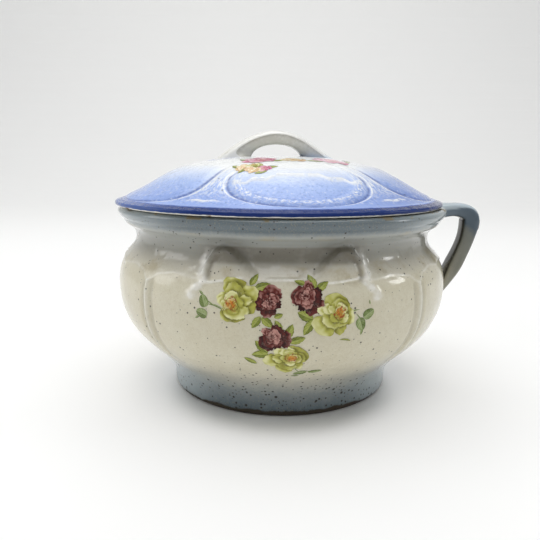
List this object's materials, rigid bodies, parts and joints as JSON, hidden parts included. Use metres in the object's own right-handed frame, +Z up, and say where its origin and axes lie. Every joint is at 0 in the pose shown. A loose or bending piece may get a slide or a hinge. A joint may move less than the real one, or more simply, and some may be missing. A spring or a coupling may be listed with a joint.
{
  "type": "lidded chamber pot",
  "caption": "Round-bellied earthenware chamber pot with a strap handle, a relief-moulded body and a domed lift-off lid with an arched handle.",
  "frame": {"origin": "centre of the foot ring, on the surface the pot stands on", "axes": "+Z up along the pot's axis, +X towards the pot's handle, the front panel faces -Y"},
  "size_m": [0.2667, 0.2376, 0.1842],
  "materials": {
    "cream_glaze": "glossy cream glaze, sprayed blue-grey at the rim and foot, speckled",
    "slate_glaze": "glossy cream glaze sprayed slate blue at the bend",
    "blue_glaze": "glossy glaze sprayed cobalt at the edge and fading to white at the crown",
    "white_glaze": "glossy white glaze, tinted blue at one foot"
  },
  "bodies": {
    "pot": {"pot_body": "cream_glaze", "pot_handle": "slate_glaze"},
    "cover": {"lid": "blue_glaze", "lid_handle": "white_glaze"}
  },
  "joints": [
    {"name": "lid_lift", "type": "slide", "parent": "pot", "child": "cover", "axis": [0, 0, 1], "range_m": [0, 0.15]}
  ]
}
